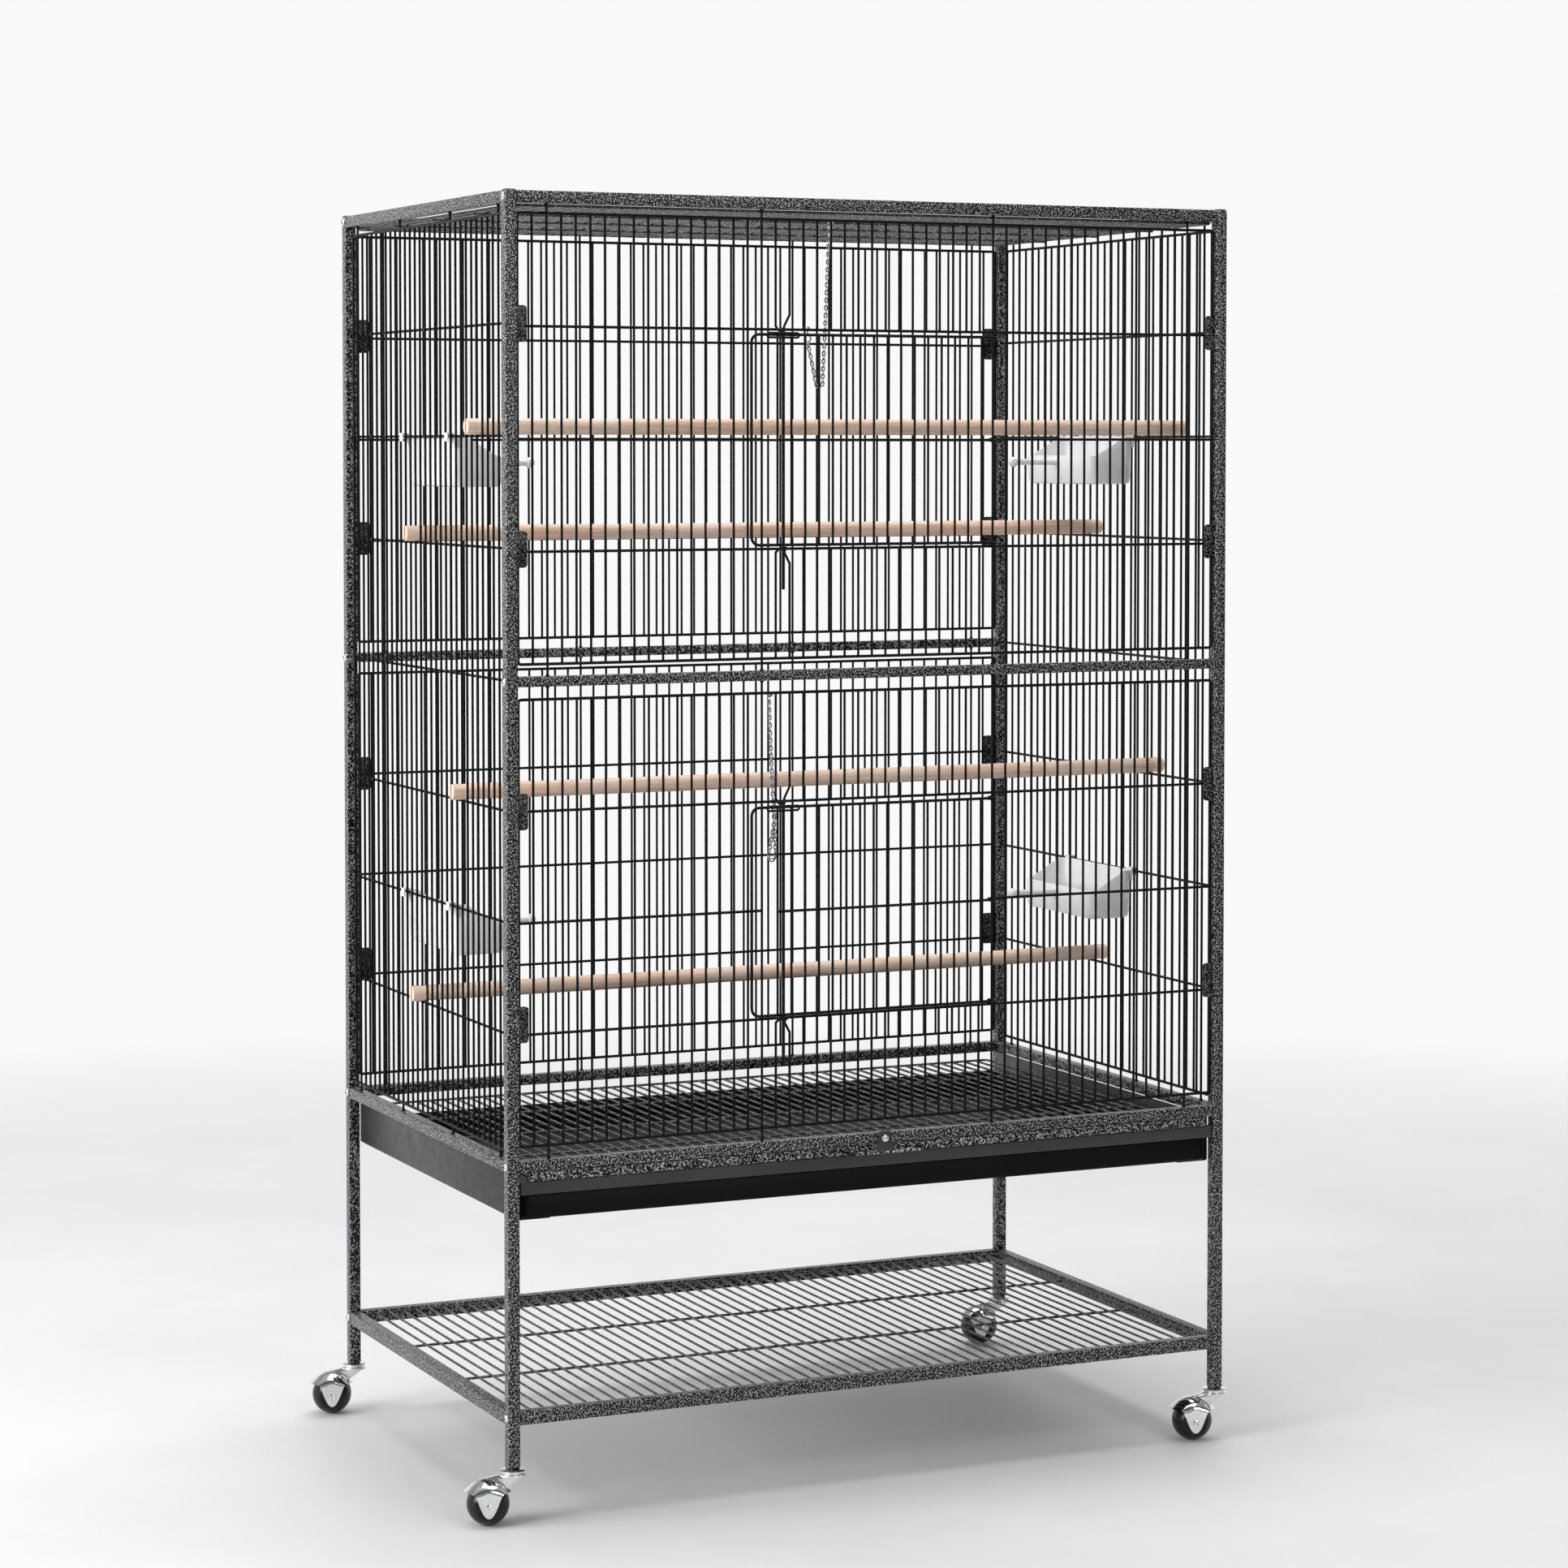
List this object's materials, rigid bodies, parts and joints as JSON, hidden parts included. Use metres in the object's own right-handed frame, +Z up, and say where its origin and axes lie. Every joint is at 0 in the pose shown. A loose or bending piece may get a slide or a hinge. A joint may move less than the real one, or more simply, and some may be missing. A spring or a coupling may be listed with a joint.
{
  "type": "bird cage on stand",
  "caption": "Tall wire flight cage on a wheeled open stand, with wire doors, pull-out grate and tray, wooden perches, hanging feeders and a lower wire shelf.",
  "frame": {"origin": "centre of the four posts, on the floor", "axes": "+Z up, -Y the front with the doors, +X the viewer's right when facing the front"},
  "size_m": [0.8465, 0.5372, 1.2917],
  "materials": {
    "hammered_paint": "hammered dark grey, semi-gloss",
    "wire_paint": "semi-gloss black powder coat",
    "chain_steel": "bright",
    "wood": "plain, sanded",
    "tray_plastic": "satin",
    "feeder_plastic": "milky, slightly see-through",
    "chrome": "polished",
    "wheel_plastic": "glossy black"
  },
  "bodies": {
    "cage": {"post_front_left": "hammered_paint", "post_front_right": "hammered_paint", "post_back_left": "hammered_paint", "post_back_right": "hammered_paint", "top_rail_front": "hammered_paint", "base_rail_front": "hammered_paint", "shelf_rail_front": "hammered_paint", "top_rail_back": "hammered_paint", "base_rail_back": "hammered_paint", "shelf_rail_back": "hammered_paint", "top_rail_left": "hammered_paint", "base_rail_left": "hammered_paint", "shelf_rail_left": "hammered_paint", "top_rail_right": "hammered_paint", "base_rail_right": "hammered_paint", "shelf_rail_right": "hammered_paint", "middle_rail_front": "hammered_paint", "middle_rail_back": "hammered_paint", "tray_channel_left": "hammered_paint", "side_panel_left": "wire_paint", "tray_channel_right": "hammered_paint", "side_panel_right": "wire_paint", "front_panel_upper_left": "wire_paint", "front_panel_upper_right": "wire_paint", "front_panel_upper_above_door": "wire_paint", "front_panel_upper_below_door": "wire_paint", "back_panel_upper": "wire_paint", "front_panel_lower_left": "wire_paint", "front_panel_lower_right": "wire_paint", "front_panel_lower_above_door": "wire_paint", "front_panel_lower_below_door": "wire_paint", "back_panel_lower": "wire_paint", "roof_grid": "wire_paint", "shelf_grid": "wire_paint", "chain_upper": "chain_steel", "chain_lower": "chain_steel", "perch_a": "wood", "perch_b": "wood", "perch_c": "wood", "perch_d": "wood"},
    "door_upper": {"door_upper": "wire_paint"},
    "door_lower": {"door_lower": "wire_paint"},
    "bolt_upper": {"bolt_upper": "wire_paint"},
    "bolt_lower": {"bolt_lower": "wire_paint"},
    "grate": {"grate": "wire_paint"},
    "tray": {"tray": "tray_plastic"},
    "lock_tab": {"lock_tab": "hammered_paint"},
    "feeder_upper_left": {"feeder_upper_left": "feeder_plastic"},
    "feeder_upper_right": {"feeder_upper_right": "feeder_plastic"},
    "feeder_lower_left": {"feeder_lower_left": "feeder_plastic"},
    "feeder_lower_right": {"feeder_lower_right": "feeder_plastic"},
    "castor_front_left": {"castor_hood_front_left": "chrome"},
    "wheel_front_left": {"wheel_front_left": "wheel_plastic"},
    "castor_front_right": {"castor_hood_front_right": "chrome"},
    "wheel_front_right": {"wheel_front_right": "wheel_plastic"},
    "castor_back_left": {"castor_hood_back_left": "chrome"},
    "wheel_back_left": {"wheel_back_left": "wheel_plastic"},
    "castor_back_right": {"castor_hood_back_right": "chrome"},
    "wheel_back_right": {"wheel_back_right": "wheel_plastic"}
  },
  "joints": [
    {"name": "door_upper_hinge", "type": "hinge", "parent": "cage", "child": "door_upper", "pos_m": [0.12866, -0.244, 1.05], "axis": [0, 0, 1], "range_deg": [0, 120]},
    {"name": "door_lower_hinge", "type": "hinge", "parent": "cage", "child": "door_lower", "pos_m": [0.12866, -0.244, 0.58], "axis": [0, 0, 1], "range_deg": [0, 120]},
    {"name": "bolt_upper_slide", "type": "slide", "parent": "door_upper", "child": "bolt_upper", "axis": [0, 0, 1], "range_m": [0, 0.045]},
    {"name": "bolt_lower_slide", "type": "slide", "parent": "door_lower", "child": "bolt_lower", "axis": [0, 0, 1], "range_m": [0, 0.045]},
    {"name": "grate_slide", "type": "slide", "parent": "cage", "child": "grate", "axis": [0, -1, 0], "range_m": [0, 0.4]},
    {"name": "tray_slide", "type": "slide", "parent": "cage", "child": "tray", "axis": [0, -1, 0], "range_m": [0, 0.4]},
    {"name": "lock_tab_turn", "type": "hinge", "parent": "cage", "child": "lock_tab", "pos_m": [0.004, -0.2518, 0.3485], "axis": [0, 1, 0], "range_deg": [-90, 90]},
    {"name": "feeder_upper_left_lift", "type": "slide", "parent": "cage", "child": "feeder_upper_left", "axis": [0, 0, 1], "range_m": [0, 0.02]},
    {"name": "feeder_upper_right_lift", "type": "slide", "parent": "cage", "child": "feeder_upper_right", "axis": [0, 0, 1], "range_m": [0, 0.02]},
    {"name": "feeder_lower_left_lift", "type": "slide", "parent": "cage", "child": "feeder_lower_left", "axis": [0, 0, 1], "range_m": [0, 0.02]},
    {"name": "feeder_lower_right_lift", "type": "slide", "parent": "cage", "child": "feeder_lower_right", "axis": [0, 0, 1], "range_m": [0, 0.02]},
    {"name": "castor_front_left_swivel", "type": "hinge", "parent": "cage", "child": "castor_front_left", "pos_m": [-0.394, -0.244, 0.05], "axis": [0, 0, 1], "continuous": true},
    {"name": "wheel_front_left_roll", "type": "hinge", "parent": "castor_front_left", "child": "wheel_front_left", "pos_m": [-0.41695, -0.23698, 0.021], "axis": [0.2924, 0.9563, 0], "continuous": true},
    {"name": "castor_front_right_swivel", "type": "hinge", "parent": "cage", "child": "castor_front_right", "pos_m": [0.394, -0.244, 0.05], "axis": [0, 0, 1], "continuous": true},
    {"name": "wheel_front_right_roll", "type": "hinge", "parent": "castor_front_right", "child": "wheel_front_right", "pos_m": [0.37105, -0.23698, 0.021], "axis": [0.2924, 0.9563, 0], "continuous": true},
    {"name": "castor_back_left_swivel", "type": "hinge", "parent": "cage", "child": "castor_back_left", "pos_m": [-0.394, 0.244, 0.05], "axis": [0, 0, 1], "continuous": true},
    {"name": "wheel_back_left_roll", "type": "hinge", "parent": "castor_back_left", "child": "wheel_back_left", "pos_m": [-0.41695, 0.25102, 0.021], "axis": [0.2924, 0.9563, 0], "continuous": true},
    {"name": "castor_back_right_swivel", "type": "hinge", "parent": "cage", "child": "castor_back_right", "pos_m": [0.394, 0.244, 0.05], "axis": [0, 0, 1], "continuous": true},
    {"name": "wheel_back_right_roll", "type": "hinge", "parent": "castor_back_right", "child": "wheel_back_right", "pos_m": [0.37105, 0.25102, 0.021], "axis": [0.2924, 0.9563, 0], "continuous": true}
  ]
}
